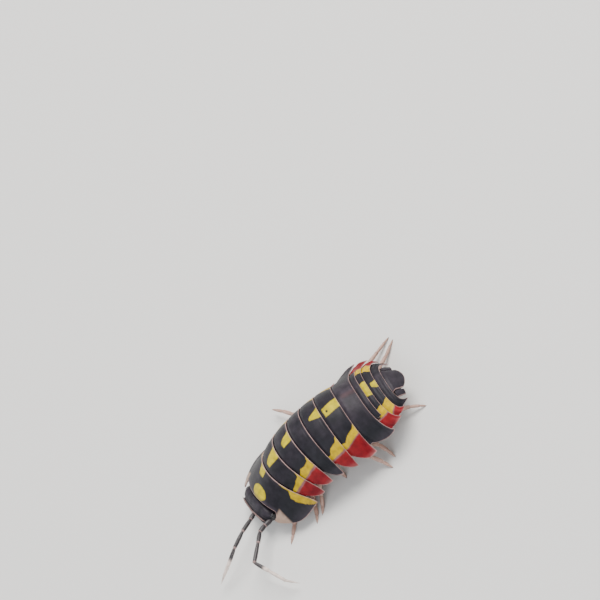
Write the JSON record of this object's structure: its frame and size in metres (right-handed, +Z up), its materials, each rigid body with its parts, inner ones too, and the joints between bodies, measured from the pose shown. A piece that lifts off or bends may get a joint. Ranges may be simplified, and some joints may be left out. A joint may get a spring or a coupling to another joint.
{
  "type": "woodlouse",
  "caption": "Life-size woodlouse standing with arched back, dark overlapping plates, yellow and red side lappets, pale legs and white-tipped feelers.",
  "frame": {"origin": "centre of the footprint, on the floor", "axes": "+Z up; the head looks towards -Y, the tail towards +Y; the animal's left side is +X"},
  "size_m": [0.016, 0.023, 0.0053],
  "materials": {
    "cuticle": "matt blue-black with pale rims and yellow patches",
    "banded_cuticle": "matt blue-black back with yellow bands and crimson lappets",
    "pale_cuticle": "satin pale pink",
    "antenna_cuticle": "satin dark with pale joints and white ends",
    "eye": "glossy black"
  },
  "bodies": {
    "root": {"head": "cuticle", "eye_left": "eye", "eye_right": "eye", "antenna_left": "antenna_cuticle", "antenna_right": "antenna_cuticle", "pereonite_1": "cuticle", "pereonite_2": "banded_cuticle", "pereonite_3": "banded_cuticle", "pereonite_4": "cuticle", "pereonite_5": "banded_cuticle", "pereonite_6": "banded_cuticle", "pereonite_7": "cuticle", "pleonites_1_and_2": "cuticle", "pleonite_3": "banded_cuticle", "pleonite_4": "banded_cuticle", "pleonite_5": "cuticle", "telson": "cuticle", "uropod_left": "cuticle", "uropod_right": "cuticle", "leg_left_1": "pale_cuticle", "leg_left_2": "pale_cuticle", "leg_left_3": "pale_cuticle", "leg_left_4": "pale_cuticle", "leg_left_5": "pale_cuticle", "leg_left_6": "pale_cuticle", "leg_left_7": "pale_cuticle", "leg_right_1": "pale_cuticle", "leg_right_2": "pale_cuticle", "leg_right_3": "pale_cuticle", "leg_right_4": "pale_cuticle", "leg_right_5": "pale_cuticle", "leg_right_6": "pale_cuticle", "leg_right_7": "pale_cuticle"}
  },
  "joints": []
}
